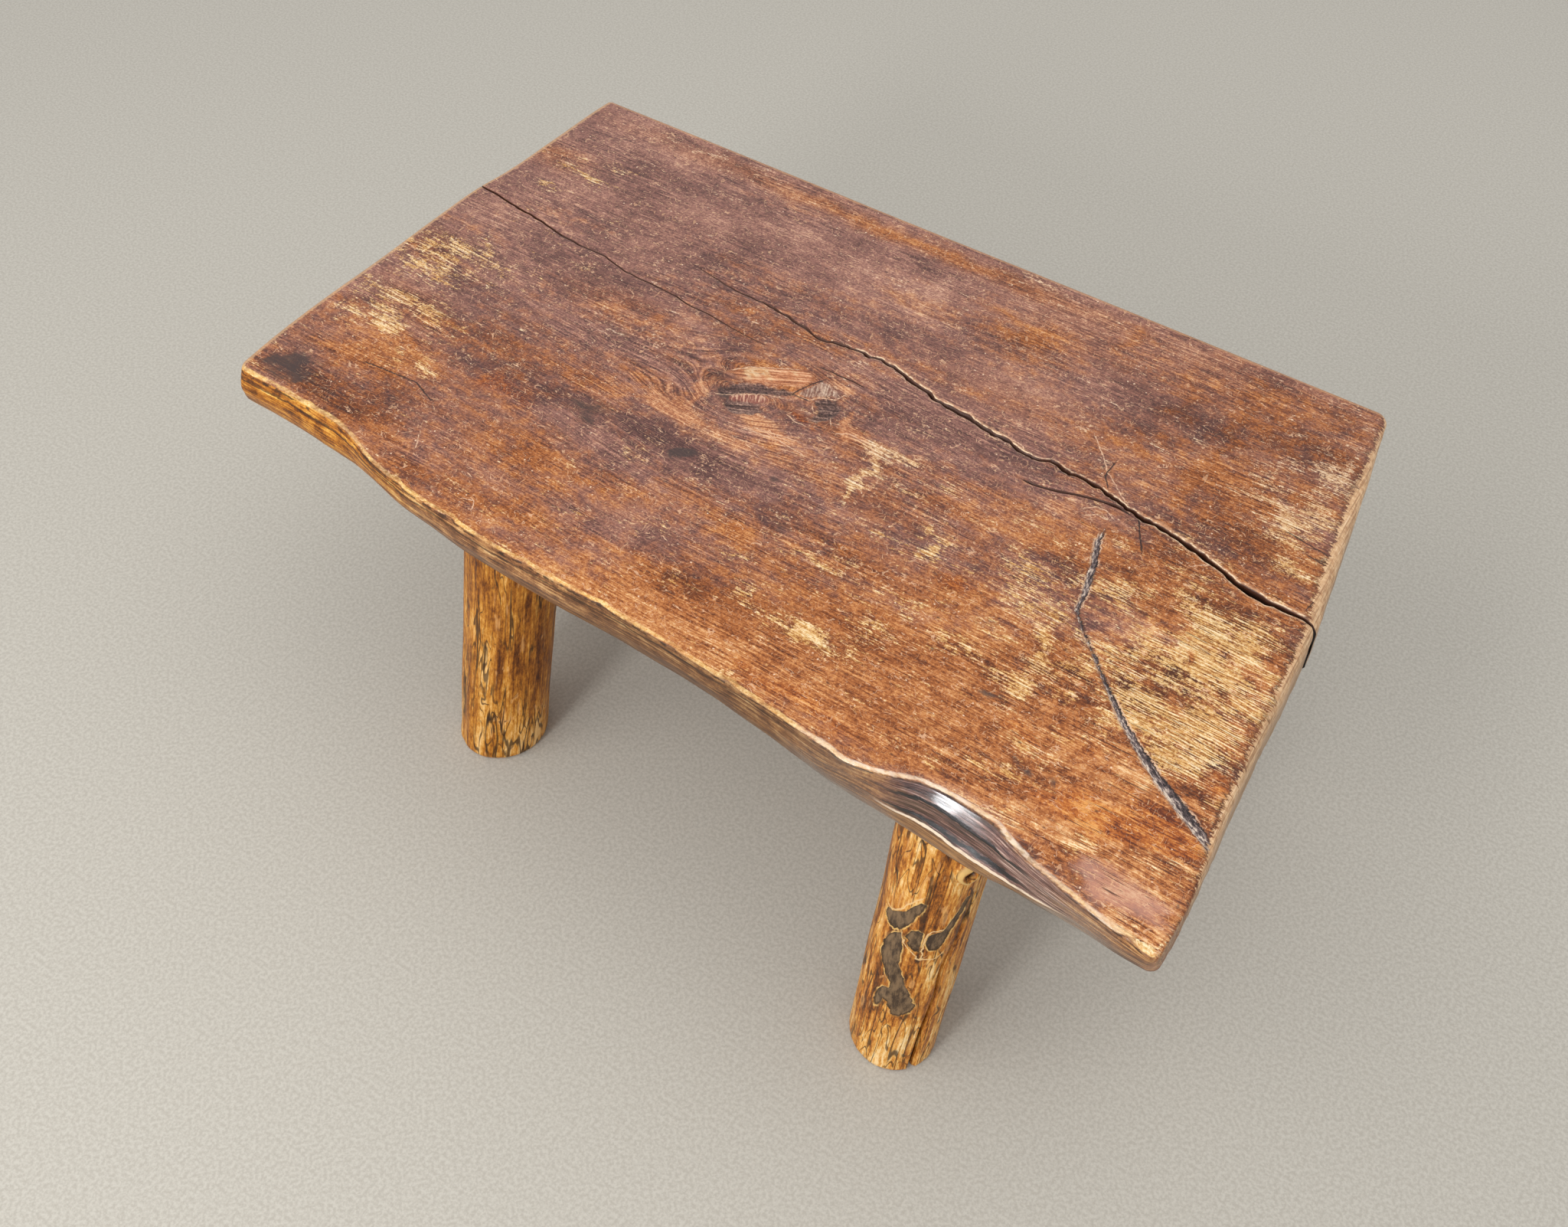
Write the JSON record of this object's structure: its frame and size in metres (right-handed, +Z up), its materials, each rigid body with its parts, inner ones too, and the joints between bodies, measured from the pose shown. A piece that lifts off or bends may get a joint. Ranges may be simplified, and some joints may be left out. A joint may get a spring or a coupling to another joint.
{
  "type": "low log table",
  "caption": "Low table with a thick live-edged slab top on four splayed, peeled log legs that are tenoned into its underside.",
  "frame": {"origin": "floor point under the centre of the table's overall outline", "axes": "+X along the sawn back edge, towards the end with the long split; +Y towards the sawn back edge; +Z up"},
  "size_m": [1.099, 0.7325, 0.44],
  "materials": {
    "slab_wood": "worn red-brown varnish",
    "leg_wood": "honey-coloured varnish",
    "wedge_wood": "bare split wood"
  },
  "bodies": {
    "root": {"top_slab": "slab_wood", "leg_front_left": "leg_wood", "leg_front_right": "leg_wood", "leg_rear_left": "leg_wood", "leg_rear_right": "leg_wood", "wedge_front_left": "wedge_wood", "wedge_front_right": "wedge_wood", "wedge_rear_left": "wedge_wood", "wedge_rear_right": "wedge_wood"}
  },
  "joints": []
}
